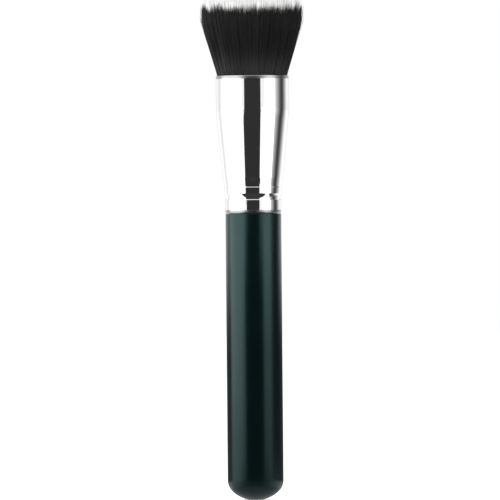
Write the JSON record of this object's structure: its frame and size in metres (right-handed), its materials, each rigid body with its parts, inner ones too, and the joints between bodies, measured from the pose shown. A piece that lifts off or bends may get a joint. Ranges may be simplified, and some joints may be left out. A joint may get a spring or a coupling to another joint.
{
  "type": "duo fibre makeup brush",
  "caption": "Flat topped duo fibre face brush: dark fibres with longer white tips in a tapered, crimped chrome ferrule on a straight round ended handle.",
  "frame": {"origin": "middle of the small flat at the end of the handle, the lowest face of the upright brush", "axes": "+Z along the brush from the handle's end to the head; X and Y are alike, because the brush is round, and +X is to the right in the picture"},
  "size_m": [0.0344, 0.0344, 0.1655],
  "materials": {
    "green_lacquer": "turned wood under a deep, glossy, very dark green lacquer",
    "chrome": "bright polished plating",
    "dark_fibre": "soft black synthetic fibre with a faint sheen",
    "white_fibre": "soft white synthetic fibre",
    "root_resin": "set amber resin",
    "tenon_glue": "set glue",
    "binding_thread": "plain undyed thread"
  },
  "bodies": {
    "root": {"handle": "green_lacquer", "ferrule": "chrome", "dark_fibres": "dark_fibre", "white_fibres": "white_fibre", "resin_plug": "root_resin", "tenon_adhesive": "tenon_glue", "root_binding": "binding_thread"}
  },
  "joints": []
}
